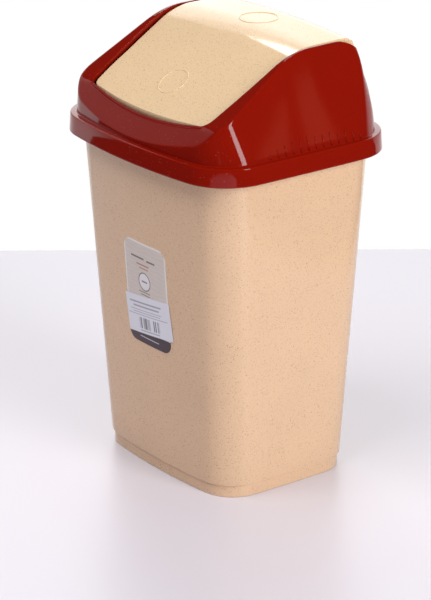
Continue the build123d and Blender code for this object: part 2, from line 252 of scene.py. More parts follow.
def rim_outline(grow=0.0):
    """Outer face of the rim, moved outwards."""
    wide = RIM_REACH + grow
    return symmetric(MOUTH_HALF_X + wide, MOUTH_HALF_Y + wide, MOUTH_CORNER + wide, MOUTH_BOW)


def dome_state(z):
    """Rise over the ledge, its share of the whole, and the bows of front and cheek at height z."""
    rise = z - LEDGE_Z
    share = rise / (DOME_BEND[1] - LEDGE_Z)
    return (rise, share, MOUTH_BOW + share * (DOME_TOP_BOW - MOUTH_BOW),
            SIDE_BOW + share * (CHEEK_BOW - SIDE_BOW))


def dome_outline(z, back_grow=0.0):
    """Dome's drafted walls at height z."""
    rise, share, bow, cheek = dome_state(z)
    return HalfOutline(
        DOME_HALF_X - rise * tan(radians(CHEEK_LEAN)),
        DOME_HALF_Y - rise * tan(radians(FRONT_LEAN)),
        DOME_HALF_Y - rise * tan(radians(CORNER_BACK_LEAN)) + back_grow,
        DOME_CORNER + share * (DOME_TOP_CORNER - DOME_CORNER), bow, cheek)


def back_limit(x, z, back_grow=0.0):
    """Y of the dome's bowed back, which cuts the walls, at x and z."""
    rise, _, bow, cheek = dome_state(z)
    radius = arc_radius(DOME_HALF_X - rise * tan(radians(CHEEK_LEAN)) - cheek, bow)
    back = DOME_HALF_Y + BACK_STAND_OFF / 2 + back_grow - rise * tan(radians(BACK_LEAN))
    return back - radius + sqrt(radius ** 2 - x ** 2)


def soft_min(a, b, soft):
    """Lesser of two values, eased where they are nearly equal."""
    return min(a, b) - max(soft - abs(a - b), 0.0) ** 2 / (4 * soft)


def dome_point(t, z, back_grow=0.0):
    """Point of the dome's wall."""
    x, y = dome_outline(z, back_grow).at(t)
    if y > 0:
        soft = FOLD_SOFTNESS * min(max((z - LEDGE_Z) / FOLD_RISE, 0.01), 1.0)
        y = soft_min(y, back_limit(x, z, back_grow), soft)
    return np.array([x, y, z])


def side_path(foot, bends, radii, crown_z, back_y):
    """Side view as points: straight runs with rounded turns, from the front foot to the back foot."""
    lean = tan(radians(BACK_LEAN))
    low = LEDGE_Z - PATH_DEPTH
    start = (foot[0] - (foot[1] - low) * (bends[0][0] - foot[0]) / (bends[0][1] - foot[1]), low)
    back_top = (back_y - (crown_z - LEDGE_Z) * lean, crown_z)
    back_foot = (back_y + (LEDGE_Z - low) * lean, low)
    corners = [np.array(p) for p in [start] + bends + [back_top, back_foot]]
    path = [corners[0]]
    for before, corner, after, radius in zip(corners, corners[1:], corners[2:], radii):
        into = (corner - before) / np.hypot(*(corner - before))
        out = (after - corner) / np.hypot(*(after - corner))
        turn = np.arccos(into @ out)
        reach = radius * tan(turn / 2)
        steps = max(4, int(np.degrees(turn)))
        normal = np.array([into[1], -into[0]])
        centre = corner - into * reach + normal * radius
        for angle in np.linspace(0, turn, steps + 1):
            path.append(centre - normal * radius * cos(angle) + into * radius * sin(angle))
    path.append(corners[-1])
    return np.array(path)


COVER_SIDE = side_path(DOME_FOOT, [DOME_SHOULDER, DOME_BEND], [SHOULDER_RADIUS, BEND_RADIUS, BACK_RADIUS],
                       DOME_BEND[1], DOME_HALF_Y + BACK_STAND_OFF)
FLAP_SIDE = side_path(FLAP_FOOT, [FLAP_BEND], [FLAP_BEND_RADIUS, FLAP_BACK_RADIUS], FLAP_BEND[1],
                      DOME_HALF_Y + FLAP_BACK + BACK_STAND_OFF)


def cover_height(y):
    """Height of the cover's top at y."""
    return float(np.interp(y, COVER_SIDE[:, 0], COVER_SIDE[:, 1]))


def flap_drop(x, y):
    """How far the flap's camber lowers it at (x, y)."""
    share = np.clip((y - FLAP_FOOT[0]) / (FLAP_BEND[0] - FLAP_FOOT[0]), 0, 1)
    return FLAP_CAMBER * share * (x / GATE_HALF_X) ** 2


def solve(function, low, high):
    """Root of a rising or falling function between two limits."""
    rising = function(high) > 0
    for _ in range(SOLVE_STEPS):
        middle = (low + high) / 2
        if (function(middle) > 0) == rising:
            high = middle
        else:
            low = middle
    return (low + high) / 2


class GatePath:
    """Right half of the mouth's outline from the back to the front's middle; grow moves it outwards."""

    def __init__(self, grow=0.0):
        front_x, back_x = GATE_FRONT_HALF_X + grow, GATE_BACK_HALF_X + grow
        middle_x, front = GATE_HALF_X + grow, GATE_FRONT + grow
        skirt_half_x = MOUTH_HALF_X + RIM_REACH + SKIRT_GROW
        bow = MOUTH_BOW * (front_x / skirt_half_x) ** 2
        front_radius = arc_radius(front_x, bow)
        self.front_circle = ((0.0, front_radius - front), front_radius)
        self.side_circle = self.through(
            (front_x, bow - front), (middle_x, GATE_WIDE_Y), (back_x, GATE_BACK_Y))
        corner = GATE_CORNER + grow
        centre, radius = self.side_circle
        middle = meet(self.front_circle[0], front_radius - corner, centre, radius - corner, (1, -1))
        self.corner_circle = (middle, corner)
        self.side_end = bearing(centre, middle)
        self.front_start = bearing(self.front_circle[0], middle)

    @staticmethod
    def through(a, b, c):
        """Circle through three points."""
        a, b, c = [np.array(p) for p in (a, b, c)]
        matrix = 2 * np.array([b - a, c - a])
        centre = np.linalg.solve(matrix, np.array([b @ b - a @ a, c @ c - a @ a]))
        return centre, float(np.hypot(*(a - centre)))

    def side_x(self, y):
        """Half width at y, behind the front corner."""
        centre, radius = self.side_circle
        return centre[0] + sqrt(radius ** 2 - (y - centre[1]) ** 2)

    def points(self, from_y, counts):
        """Points along side, corner and front, the side starting at from_y."""
        centre, radius = self.side_circle
        start = bearing(centre, (self.side_x(from_y), from_y))
        spans = [(self.side_circle, start, self.side_end),
                 (self.corner_circle, self.side_end, self.front_start),
                 (self.front_circle, self.front_start, -pi / 2)]
        result = []
        for ((c, r), a, b), count in zip(spans, counts):
            for angle in np.linspace(a, b, count, endpoint=False):
                result.append((c[0] + r * cos(angle), c[1] + r * sin(angle)))
        result.append((0.0, self.front_circle[0][1] - self.front_circle[1]))
        return result


# Meshes


def mirrored(half):
    """Whole ring from its right half, which starts and ends on the middle plane."""
    half = np.asarray(half, dtype=float)
    other = half[1:-1][::-1] * np.array([-1.0, 1.0, 1.0])
    return np.vstack([half, other])


def rounded_rows(rows, reaches):
    """Rows of points with some rows replaced by a soft turn of the given reach."""
    result = [rows[0]]
    for index in range(1, len(rows) - 1):
        row, reach = rows[index], reaches.get(index, 0)
        if not reach:
            result.append(row)
            continue
        ends = []
        for other in (rows[index - 1], rows[index + 1]):
            step = other - row
            length = np.maximum(np.linalg.norm(step, axis=1, keepdims=True), 1e-6)
            ends.append(row + step / length * np.minimum(reach, TURN_MOST * length))
        for share in TURN_SHARES:
            result.append((1 - share) ** 2 * ends[0] + 2 * share * (1 - share) * row + share ** 2 * ends[1])
    result.append(rows[-1])
    return result


def linked(name, data):
    """New object in the scene with the given mesh, lamp or camera."""
    item = bpy.data.objects.new(name, data)
    bpy.context.scene.collection.objects.link(item)
    return item


def mesh_object(name, points, faces, material):
    """Smooth-shaded mesh object at the origin, from millimetre points."""
    mesh = bpy.data.meshes.new(name)
    mesh.from_pydata([tuple(p) for p in np.asarray(points) * MM], [], faces)
    mesh.validate()
    for polygon in mesh.polygons:
        polygon.use_smooth = True
    mesh.materials.append(material)
    return linked(name, mesh)


def ring_faces(rows, columns):
    """Quads between closed rows of equally many points."""
    faces = []
    for r in range(rows - 1):
        for c in range(columns):
            d = (c + 1) % columns
            base = r * columns
            faces.append((base + c, base + d, base + columns + d, base + columns + c))
    return faces


def applied(item):
    """Gives the object the mesh that its modifiers make, and removes them."""
    depsgraph = bpy.context.evaluated_depsgraph_get()
    mesh = bpy.data.meshes.new_from_object(item.evaluated_get(depsgraph))
    item.modifiers.clear()
    old, item.data = item.data, mesh
    bpy.data.meshes.remove(old)


def reworked(item, operation, part, **choices):
    """Runs one bmesh operation on the object's points or faces."""
    bm = bmesh.new()
    bm.from_mesh(item.data)
    operation(bm, **{part: getattr(bm, part)}, **choices)
    bm.to_mesh(item.data)
    bm.free()


def finished(item, thickness=0.0):
    """Gives the object's mesh a wall if wanted, turns its faces outwards and leaves no modifier."""
    reworked(item, bmesh.ops.remove_doubles, "verts", dist=1e-6)
    if thickness:
        wall = item.modifiers.new("Wall", "SOLIDIFY")
        wall.thickness = thickness * MM
        wall.offset = -1
        wall.use_even_offset = False
        wall.use_rim = True
        applied(item)
    reworked(item, bmesh.ops.recalc_face_normals, "faces")
    return item


def ring_object(name, rows, material):
    """Finished object from closed rows of equally many points."""
    return finished(mesh_object(name, np.vstack(rows), ring_faces(len(rows), len(rows[0])), material))


def around(count):
    """Angles of a whole turn in equal steps."""
    return [2 * pi * index / count for index in range(count)]


def joined(items, name):
    """One object from several."""
    bm = bmesh.new()
    for item in items:
        bm.from_mesh(item.data)
    mesh = bpy.data.meshes.new(name)
    bm.to_mesh(mesh)
    bm.free()
    mesh.materials.append(items[0].data.materials[0])
    for item in items:
        bpy.data.objects.remove(item)
    return linked(name, mesh)


def stepped(marks, counts):
    """Values from mark to mark, each span in its own number of steps, with the last mark."""
    spans = [np.linspace(a, b, count, endpoint=False) for a, b, count in zip(marks, marks[1:], counts)]
    return [*np.concatenate(spans), marks[-1]]


def build_bucket(material):
    """Bucket as rings from under its floor, up its outside, over the rim and down inside.

    Each key is a ring's outline, its height and the rounding there, in millimetres.
    """
    ts = stepped(range(6), BUCKET_STEPS)

    def ring(outline, z):
        return mirrored([(*outline.at(t), z) for t in ts])

    rim_low = BUCKET_HEIGHT - RIM_DROP
    rim_under = BUCKET_HEIGHT - RIM_THICKNESS
    floor_top = FLOOR_LIFT + FLOOR_THICKNESS
    step_top = FOOT_HEIGHT + STEP_THICKNESS
    keys = [
        (foot_outline(FOOT_RING + UNDER_INSET), FLOOR_LIFT, 0),
        (foot_outline(FOOT_RING), FLOOR_LIFT, 0.4),
        (foot_outline(FOOT_RING), 0, 0.6),
        (foot_outline(), 0, 0.9),
        (foot_outline(), FOOT_HEIGHT, 0.3),
        (wall_outline(FOOT_HEIGHT), FOOT_HEIGHT, 0.5),
    ]
    for z in np.linspace(WALL_FROM_Z, rim_under - WALL_TOP_GAP, OUTSIDE_ROWS):
        keys.append((wall_outline(z), z, 0))
    keys += [
        (wall_outline(rim_under), rim_under, 0.8),
        (rim_outline(-BUCKET_WALL), rim_under, 0.6),
        (rim_outline(-BUCKET_WALL), rim_low, 0.4),
        (rim_outline(), rim_low, 0.5),
        (rim_outline(), BUCKET_HEIGHT, 1.2),
        (wall_outline(BUCKET_HEIGHT, BUCKET_WALL), BUCKET_HEIGHT, 0.9),
    ]
    for z in np.linspace(rim_under - WALL_TOP_GAP, WALL_FROM_Z, INSIDE_ROWS):
        keys.append((wall_outline(z, BUCKET_WALL), z, 0))
    keys += [
        (wall_outline(step_top, BUCKET_WALL), step_top, 0.4),
        (foot_outline(BUCKET_WALL), step_top - STEP_THICKNESS / 2, 0.4),
        (foot_outline(BUCKET_WALL), floor_top, 2.0),
        (foot_outline(BUCKET_WALL + FLOOR_INSET), floor_top, 0),
    ]
    rows = [ring(outline, z) for outline, z, _ in keys]
    rows = rounded_rows(rows, {i: key[2] for i, key in enumerate(keys)})
    columns = len(rows[0])
    faces = ring_faces(len(rows), columns)
    faces.append(tuple(range(columns))[::-1])
    last = (len(rows) - 1) * columns
    faces.append(tuple(range(last, last + columns)))
    return finished(mesh_object("bucket", np.vstack(rows), faces, material))


def cover_columns():
    """Where each half column stands on the dome's foot, its shoulder or edge, and the mouth's edge."""
    gate = GatePath()

    def edge_t(z):
        return solve(lambda t: dome_point(t, z)[0] - gate.side_x(dome_point(t, z)[1]), low=0.2, high=2.4)

    top_z = solve(lambda z: z - cover_height(dome_point(edge_t(z), z)[1]), low=300, high=329)
    top_t = edge_t(top_z)
    back_t = edge_t(GATE_BACK_Z)
    back_x = dome_point(back_t, GATE_BACK_Z)[0]
    foot = dome_outline(LEDGE_Z)
    columns = []
    for x in np.linspace(0, back_x, BACK_STEPS, endpoint=False):
        t = solve(lambda s: dome_point(s, GATE_BACK_Z)[0] - x, low=0, high=2)
        foot_t = solve(lambda s: foot.at(s)[0] - x * CORNER_FOOT_X / back_x, low=0, high=2)
        columns.append((foot_t, t, GATE_BACK_Z, None, BACK_SHARE, 0.0))
    first_t = solve(lambda s: foot.at(s)[0] - CORNER_FOOT_X, low=0, high=2)
    for share in np.linspace(0, 1, POST_STEPS, endpoint=False):
        z = GATE_BACK_Z + share * (top_z - GATE_BACK_Z)
        columns.append((first_t + share * (FOOT_MARKS[0] - first_t), edge_t(z), z, None,
                        BACK_SHARE + share * (POST_SHARE - BACK_SHARE), 0.0))
    edge = gate.points(dome_point(top_t, top_z)[1], EDGE_STEPS)
    dense = np.linspace(top_t, SHOULDER_MARKS[0], RUN_STEPS)
    run = np.array([shoulder_point(t) for t in dense])
    length = np.concatenate([[0], np.cumsum(np.linalg.norm(np.diff(run, axis=0), axis=1))])
    shoulder_ts = [*np.interp(np.linspace(0, length[-1], EDGE_STEPS[0], endpoint=False), length, dense),
                   *stepped(SHOULDER_MARKS, EDGE_STEPS[1:])]
    foot_ts = stepped(FOOT_MARKS, EDGE_STEPS)
    for index, (point, t, foot_t) in enumerate(zip(edge, shoulder_ts, foot_ts)):
        columns.append((foot_t, t, shoulder_point(t)[2], point, 1.0, min(1.0, index / LIP_STEPS)))
    return columns


def shoulder_point(t):
    """Point where the dome's wall meets its top."""
    z = solve(lambda h: h - cover_height(dome_point(t, h)[1]), low=261, high=329)
    return dome_point(t, z)


def build_cover(material, edge_radius):
    """Cover as rings from the skirt's edge up over the dome to the mouth, and down its return wall."""
    columns = cover_columns()
    foot = dome_outline(LEDGE_Z)
    rows = []
    for share in SKIRT_SHARES:
        skirt = rim_outline(SKIRT_GROW - share * SKIRT_FLARE)
        rows.append([(*skirt.at(c[0]), SKIRT_LOW_Z + share * (LEDGE_Z - SKIRT_LOW_Z)) for c in columns])
    ledge_row = len(rows) - 1
    rows.append([(*foot.at(c[0]), LEDGE_Z) for c in columns])
    grid = []
    for foot_t, t, z, edge, share_at, _ in columns:

        def on_wall(share):
            return dome_point(foot_t + share * (t - foot_t), LEDGE_Z + share * (z - LEDGE_Z))

        line = [on_wall(index / WALL_ROWS * share_at) for index in range(1, WALL_ROWS + 1)]
        shoulder = line[-1]
        for share in np.arange(1, BAND_ROWS + 1) / BAND_ROWS:
            if edge is None:
                line.append(on_wall(share_at + share * (1 - share_at)))
            else:
                x, y = shoulder[:2] + share * (np.array(edge) - shoulder[:2])
                line.append(np.array([x, y, cover_height(y)]))
        grid.append(line)
    rows += [list(row) for row in zip(*grid)]
    lip = np.array(rows[-1])
    turns = np.array([column[5] for column in columns])
    down = np.stack([0 * turns, turns - 1, -turns], axis=1)
    down /= np.linalg.norm(down, axis=1, keepdims=True)
    rows += [lip + 0.5 * RETURN_DEPTH * down, lip + RETURN_DEPTH * down]
    shoulder_row = ledge_row + 1 + WALL_ROWS
    rings = rounded_rows([mirrored(row) for row in rows], {
        ledge_row: edge_radius, ledge_row + 1: LEDGE_TURN, shoulder_row: SHOULDER_TURN,
        shoulder_row + BAND_ROWS: LIP_TURN})
    faces = [face[::-1] for face in ring_faces(len(rings), len(rings[0]))]
    shell = finished(mesh_object("cover_shell", np.vstack(rings), faces, material), COVER_WALL)
    return joined([shell] + [build_ear(side, material) for side in (-1, 1)], "cover")


def build_ear(side, material):
    """Bearing ear that hangs beside the mouth, with a round hole for the flap's axle."""
    bore = AXLE_RADIUS + BORE_CLEARANCE
    rise = cover_height(PIVOT_Y) - EAR_TOP_GAP - PIVOT_Z
    outer, inner = [], []
    for angle in around(ROUND_STEPS):
        y, z = cos(angle), sin(angle)
        inner.append((PIVOT_Y + bore * y, PIVOT_Z + bore * z))
        wide = np.sign(y) * min(1, abs(y) * EAR_SPREAD) if z > 0 else y
        outer.append((PIVOT_Y + EAR_RADIUS * wide, PIVOT_Z + z * (rise if z > 0 else EAR_RADIUS)))
    near, far = GATE_HALF_X, GATE_HALF_X + EAR_THICKNESS
    rows = [[(side * x, y, z) for y, z in ring] for x, ring in
            ((near, inner), (near, outer), (far, outer), (far, inner), (near, inner))]
    return ring_object("ear", rows, material)


def build_axle(side, material):
    """Collar and stub axle at one side of the flap."""
    inner_x = GATE_HALF_X - FLAP_GAP - COLLAR_INSET
    collar_x = GATE_HALF_X - COLLAR_GAP
    end_x = GATE_HALF_X + EAR_THICKNESS + AXLE_STAND_OUT
    profile = [(inner_x, AXLE_CORE), (inner_x, COLLAR_RADIUS), (collar_x - COLLAR_TURN, COLLAR_RADIUS),
               (collar_x, COLLAR_RADIUS - COLLAR_TURN), (collar_x, AXLE_RADIUS),
               (end_x - AXLE_TURN, AXLE_RADIUS), (end_x, AXLE_RADIUS - AXLE_TURN), (end_x, AXLE_CORE)]
    rows = [[(side * x, PIVOT_Y + radius * cos(a), PIVOT_Z + radius * sin(a)) for a in around(ROUND_STEPS)]
            for x, radius in profile]
    return ring_object("axle", rows, material)


def flap_grid():
    """Grid over the flap's outside, rows across it from the front edge over the crown to the back edge."""
    gate = GatePath(-FLAP_GAP)
    half = gate.points(FLAP_FROM_Y, FLAP_STEPS)
    ends = [p for p in half if p[1] < gate.corner_circle[0][1] + 1e-6][-2::-1]
    front_y, start_y = ends[0][1], ends[-1][1]
    ys = [*np.linspace(start_y, FLAP_FINE_Y, FLAP_FRONT_ROWS)[1:],
          *np.linspace(FLAP_FINE_Y, FLAP_TAIL_Y, FLAP_ROWS)[1:]]
    rows = []
    for x_end, y_end in ends + [(gate.side_x(y), y) for y in ys]:
        fade = np.clip((FLAP_FADE_Y - y_end) / (FLAP_FADE_Y - front_y), 0, 1)
        y = y_end + fade * (FLAP_GAP - GATE_FRONT - front_y) * (1 - FLAP_ACROSS ** 2)
        rows.append(np.stack([FLAP_ACROSS * x_end, y, np.interp(y, *FLAP_SIDE.T)], axis=1))
    low_end = GATE_BACK_Z + FLAP_GAP
    tail = FLAP_SIDE[FLAP_SIDE[:, 0] > FLAP_TAIL_Y]
    last_y = np.interp(low_end, tail[::-1, 1], tail[::-1, 0])
    tail = np.vstack([tail[tail[:, 1] > low_end], [[last_y, low_end]]])
    steps = [tail[0]]
    for a, b in zip(tail, tail[1:]):
        pieces = max(1, int(np.hypot(*(b - a)) / TAIL_STEP))
        steps += [a + (b - a) * (index + 1) / pieces for index in range(pieces)]
    spaced = [steps[0]]
    for point in steps[1:]:
        if np.hypot(*(point - spaced[-1])) > TAIL_LEAST:
            spaced.append(point)
    spaced[-1] = steps[-1]
    for y, z in spaced:
        rows.append([(u * gate.side_x(min(y, FLAP_NARROW_Y)), y, z) for u in FLAP_ACROSS])
    grid = np.array(rows, dtype=float)
    for point in grid.reshape(-1, 3):
        point[2] -= flap_drop(*point[:2]) * np.clip((point[2] - low_end) / DROP_FADE, 0, 1)
        outline = dome_outline(point[2], FLAP_BACK)
        t = solve(lambda s: outline.at(s)[0] - abs(point[0]), low=0, high=2.5)
        point[1] = soft_min(point[1], dome_point(t, point[2], FLAP_BACK)[1], FLAP_SOFTNESS)
    return grid


def build_flap(material):
    """Flap: cambered skin with a web round its edge, two stub axles and two raised rings."""
    grid = flap_grid()
    rows, cols = grid.shape[:2]
    loop = [(0, c) for c in range(cols)] + [(r, cols - 1) for r in range(1, rows)]
    loop += [(rows - 1, c) for c in range(cols - 2, -1, -1)] + [(r, 0) for r in range(rows - 2, 0, -1)]
    edge = np.array([grid[r, c] for r, c in loop])
    inner = np.array([grid[min(max(r, 1), rows - 2), min(max(c, 1), cols - 2)] for r, c in loop])
    ways = []
    for r, c in loop:
        along = grid[min(r + 1, rows - 1), c] - grid[max(r - 1, 0), c]
        fall = max(0.0, np.arctan2(-along[2], along[1]))
        ways.append((0.0, -sin(fall), -cos(fall)))
    ring_rows = rounded_rows([inner, edge, edge + FLAP_WEB_DEPTH * np.array(ways)], {1: LIP_TURN})[1:]
    points = [tuple(p) for p in grid.reshape(-1, 3)]
    before = [r * cols + c for r, c in loop]
    for index, point in zip(before, ring_rows[0]):
        points[index] = tuple(point)
    faces = []
    for r in range(rows - 1):
        for c in range(r * cols, r * cols + cols - 1):
            faces.append((c, c + 1, c + cols + 1, c + cols))
    for ring in ring_rows[1:]:
        now = list(range(len(points), len(points) + len(loop)))
        points += [tuple(p) for p in ring]
        for i, j in zip(range(len(loop)), [*range(1, len(loop)), 0]):
            faces.append((before[j], before[i], now[i], now[j]))
        before = now
    pieces = [finished(mesh_object("flap_shell", points, faces, material), FLAP_WALL)]
    pieces += [build_axle(side, material) for side in (-1, 1)]
    pieces += [build_ring(*ring, material) for ring in RINGS]
    return joined(pieces, "flap")


def flap_surface(x, y):
    """Height of the flap's outside."""
    return float(np.interp(y, FLAP_SIDE[:, 0], FLAP_SIDE[:, 1])) - flap_drop(x, y)


def build_ring(radius, middle_y, lean, material):
    """Raised ring moulded on the flap."""
    rise, back = cos(radians(lean)), sin(radians(lean))
    rows = []
    for inset, height in RING_SECTION:
        line = []
        for angle in around(RING_STEPS):
            x = (radius - inset) * cos(angle)
            y = middle_y + (radius - inset) * sin(angle) * rise
            line.append((x, y - height * back, flap_surface(x, y) + height * rise))
        rows.append(line)
    return ring_object("ring", rows, material)


def rib_group():
    """Geometry nodes that stand a row of upright ribs on both cheeks."""
    tree = bpy.data.node_groups.new("Cheek ribs", "GeometryNodeTree")
    for name, kind, _ in RIB_INPUTS:
        tree.interface.new_socket(name, in_out="INPUT", socket_type="NodeSocket" + kind)
    tree.interface.new_socket("Geometry", in_out="OUTPUT", socket_type="NodeSocketGeometry")
    nodes = Nodes(tree)
    given = nodes.add("NodeGroupInput").outputs
    start = nodes.out("ShaderNodeCombineXYZ", Y=given["First Y"], Z=given["Low Z"])
    step = nodes.out("ShaderNodeCombineXYZ", Y=given["Step"])
    line = nodes.out("GeometryNodeMeshLine", Count=given["Count"], Start_Location=start, Offset=step)
    where = nodes.add("ShaderNodeSeparateXYZ", Vector=nodes.out("GeometryNodeInputPosition"))
    share = nodes.maths("DIVIDE", where.outputs[1], given["Half Length"])
    bow = nodes.times(nodes.times(share, share), given["Bow"])
    outward = nodes.minus(given["Foot X"], bow)
    rows = nodes.add("GeometryNodeJoinGeometry")
    for side in (1.0, -1.0):
        offset = nodes.out("ShaderNodeCombineXYZ", X=nodes.times(outward, side))
        nodes.put(rows, Geometry=nodes.out("GeometryNodeSetPosition", Geometry=line, Offset=offset))
    radius = nodes.times(given["Width"], 0.5)
    rod = nodes.out("GeometryNodeMeshCylinder", Vertices=given["Sides"], Radius=radius, Depth=1.0)
    standing = nodes.out("GeometryNodeTransform", Geometry=rod, Translation=(0.0, 0.0, 0.5))
    place = nodes.maths("MODULO", nodes.out("GeometryNodeInputIndex"), given["Count"])
    last = nodes.minus(given["Count"], 1.0)
    turn = nodes.maths("DIVIDE", nodes.times(place, pi), last)
    extra = nodes.times(nodes.maths("SINE", turn), nodes.minus(given["Tall"], given["Short"]))
    uneven = nodes.add("FunctionNodeRandomValue", n2=RIB_LEAST, n3=RIB_MOST, Seed=given["Seed"])
    height = nodes.times(nodes.plus(extra, given["Short"]), uneven.outputs[1])
    scale = nodes.out("ShaderNodeCombineXYZ", X=1.0, Y=1.0, Z=height)
    lean = nodes.times(nodes.maths("SIGN", where.outputs[0]), given["Lean"])
    rotation = nodes.out("ShaderNodeCombineXYZ", Y=nodes.times(lean, -1.0))
    ribs = nodes.out("GeometryNodeInstanceOnPoints", Points=rows.outputs[0], Instance=standing,
                     Rotation=rotation, Scale=scale)
    solid = nodes.out("GeometryNodeRealizeInstances", Geometry=ribs)
    coloured = nodes.out("GeometryNodeSetMaterial", Geometry=solid, Material=given["Material"])
    nodes.add("NodeGroupOutput", Geometry=coloured)
    return tree


def build_ribs(material):
    """Ribs on the cheeks as a plain mesh made by the rib nodes."""
    item = mesh_object("cheek_ribs", np.zeros((0, 3)), [], material)
    ribs = item.modifiers.new("Ribs", "NODES")
    ribs.node_group = rib_group()
    values = {name: value for name, _, value in RIB_INPUTS}
    values["Material"] = material
    for socket in ribs.node_group.interface.items_tree:
        if socket.in_out == "INPUT":
            ribs[socket.identifier] = values[socket.name]
    applied(item)
    for polygon in item.data.polygons:
        polygon.use_smooth = abs(polygon.normal.z) < RIB_STEEP
    return item


# Materials


class Nodes:
    """Short way to add and join a material's or group's nodes."""

    def __init__(self, tree):
        self.tree = tree

    def add(self, kind, **inputs):
        node = self.tree.nodes.new(kind)
        self.put(node, **inputs)
        return node

    def out(self, kind, **inputs):
        """First output of a new node."""
        return self.add(kind, **inputs).outputs[0]

    def put(self, node, **inputs):
        """Sets or links sockets: n0 is the first one, and Base_Color is the one called Base Color."""
        for name, value in inputs.items():
            key = name.replace("_", " ")
            if name.startswith("n") and name[1:].isdigit():
                key = int(name[1:])
            socket = node.inputs[key]
            if isinstance(value, bpy.types.NodeSocket):
                self.tree.links.new(value, socket)
            else:
                socket.default_value = value

    def maths(self, operation, a, b=0.0, clamp=False):
        node = self.add("ShaderNodeMath", n0=a, n1=b)
        node.operation = operation
        node.use_clamp = clamp
        return node.outputs[0]

    def mix(self, share, a, b):
        node = self.tree.nodes.new("ShaderNodeMix")
        node.data_type = "RGBA"
        self.put(node, n0=share)
        for socket, value in ((node.inputs[6], a), (node.inputs[7], b)):
            if isinstance(value, bpy.types.NodeSocket):
                self.tree.links.new(value, socket)
            else:
                socket.default_value = (*value, 1.0)
        return node.outputs[2]

    def times(self, a, b):
        return self.maths("MULTIPLY", a, b)

    def plus(self, a, b):
        return self.maths("ADD", a, b)

    def minus(self, a, b):
        return self.maths("SUBTRACT", a, b)

    def dot(self, vector, way):
        """How far a vector runs along a fixed direction."""
        node = self.add("ShaderNodeVectorMath", n0=vector, n1=way)
        node.operation = "DOT_PRODUCT"
        return node.outputs["Value"]

    def group(self, name, **inputs):
        """First output of a named node group."""
        node = self.tree.nodes.new("ShaderNodeGroup")
        node.node_tree = bpy.data.node_groups[name]
        self.put(node, **inputs)
        return node.outputs[0]

    def shaded(self, colour, value):
        """Colour made lighter or darker by a factor."""
        return self.out("ShaderNodeHueSaturation", Color=colour, Value=value)

    def relief(self, place, scale, detail, strength, distance):
        """Normal of a surface with a fine unevenness."""
        height = self.noise(place, scale, detail)
        return self.out("ShaderNodeBump", Height=height, Strength=strength, Distance=distance)

    def between(self, value, low, high):
        """0 at low, 1 at high."""
        return self.out("ShaderNodeMapRange", Value=value, From_Min=low, From_Max=high)

    def noise(self, vector, scale, detail=2.0):
        return self.out("ShaderNodeTexNoise", Vector=vector, Scale=scale, Detail=detail)


def new_material(name):
    """Empty node material with its Principled shader, its tree helper and Object coordinates."""
    material = bpy.data.materials.new(name)
    material.use_nodes = True
    nodes = Nodes(material.node_tree)
    principled = material.node_tree.nodes["Principled BSDF"]
    place = nodes.add("ShaderNodeTexCoord").outputs["Object"]
    return material, nodes, principled, place


def new_group(name, output, inputs):
    """Shader node group with one output; an input without a default is a vector, the others are numbers."""
    group = bpy.data.node_groups.new(name, "ShaderNodeTree")
    for socket, default in inputs.items():
        kind = "NodeSocketVector" if default is None else "NodeSocketFloat"
        made = group.interface.new_socket(socket, in_out="INPUT", socket_type=kind)
        if default is not None:
            made.default_value = default
    group.interface.new_socket(output, in_out="OUTPUT", socket_type="NodeSocketFloat")
    nodes = Nodes(group)
    return nodes, nodes.add("NodeGroupInput").outputs, nodes.add("NodeGroupOutput")


def fleck_group():
    """Small scattered flecks of uneven size: a mask that is 1 in a fleck."""
    nodes, (place, scale, level, softness, _), out = new_group(
        "Flecks", "Mask", {"Vector": None, "Scale": 900.0, "Level": 0.64, "Softness": 0.05})
    over = nodes.minus(nodes.noise(place, scale, 1.0), level)
    nodes.put(out, Mask=nodes.maths("DIVIDE", over, softness, clamp=True))


def mottle_group():
    """Slow cloudy variation round 1, for colour and roughness."""
    nodes, (place, scale, strength, _), out = new_group(
        "Mottle", "Value", {"Vector": None, "Scale": 30.0, "Strength": 0.1})
    centred = nodes.minus(nodes.noise(place, scale, 3.0), 0.5)
    nodes.put(out, Value=nodes.plus(nodes.times(centred, strength), 1.0))


def bar_group():
    """Printed upright bar: a mask that is 1 inside a rectangle, in the printing's own millimetres."""
    names = ("X", "Z", "Middle X", "Middle Z", "Half X", "Half Z")
    nodes, given, out = new_group("Printed bar", "Mask", dict.fromkeys(names, 0.0))
    inside = []
    for axis in (0, 1):
        away = nodes.maths("ABSOLUTE", nodes.minus(given[axis], given[axis + 2]))
        inside.append(nodes.maths("DIVIDE", nodes.minus(given[axis + 4], away), PRINT_SOFTNESS, clamp=True))
    nodes.put(out, Mask=nodes.times(*inside))


def sand_material(name, colour, fleck, roughness, gloss):
    """Speckled sand-coloured plastic."""
    material, nodes, principled, place = new_material(name)
    dark = nodes.group("Flecks", Vector=place, Scale=1000.0, Level=0.65, Softness=0.05)
    fine = nodes.group("Flecks", Vector=place, Scale=1700.0, Level=0.56, Softness=0.10)
    both = nodes.maths("ADD", nodes.times(dark, DARK_FLECKS), nodes.times(fine, FINE_FLECKS), clamp=True)
    cloud = nodes.group("Mottle", Vector=place, Scale=22.0, Strength=0.10)
    rough = nodes.times(nodes.group("Mottle", Vector=place, Scale=90.0, Strength=0.3), roughness)
    normal = nodes.relief(place, scale=60.0, detail=1.0, strength=0.03, distance=0.001)
    nodes.put(principled, Base_Color=nodes.shaded(nodes.mix(both, colour, fleck), cloud),
              Roughness=rough, Normal=normal, IOR=1.5, Specular_IOR_Level=gloss)


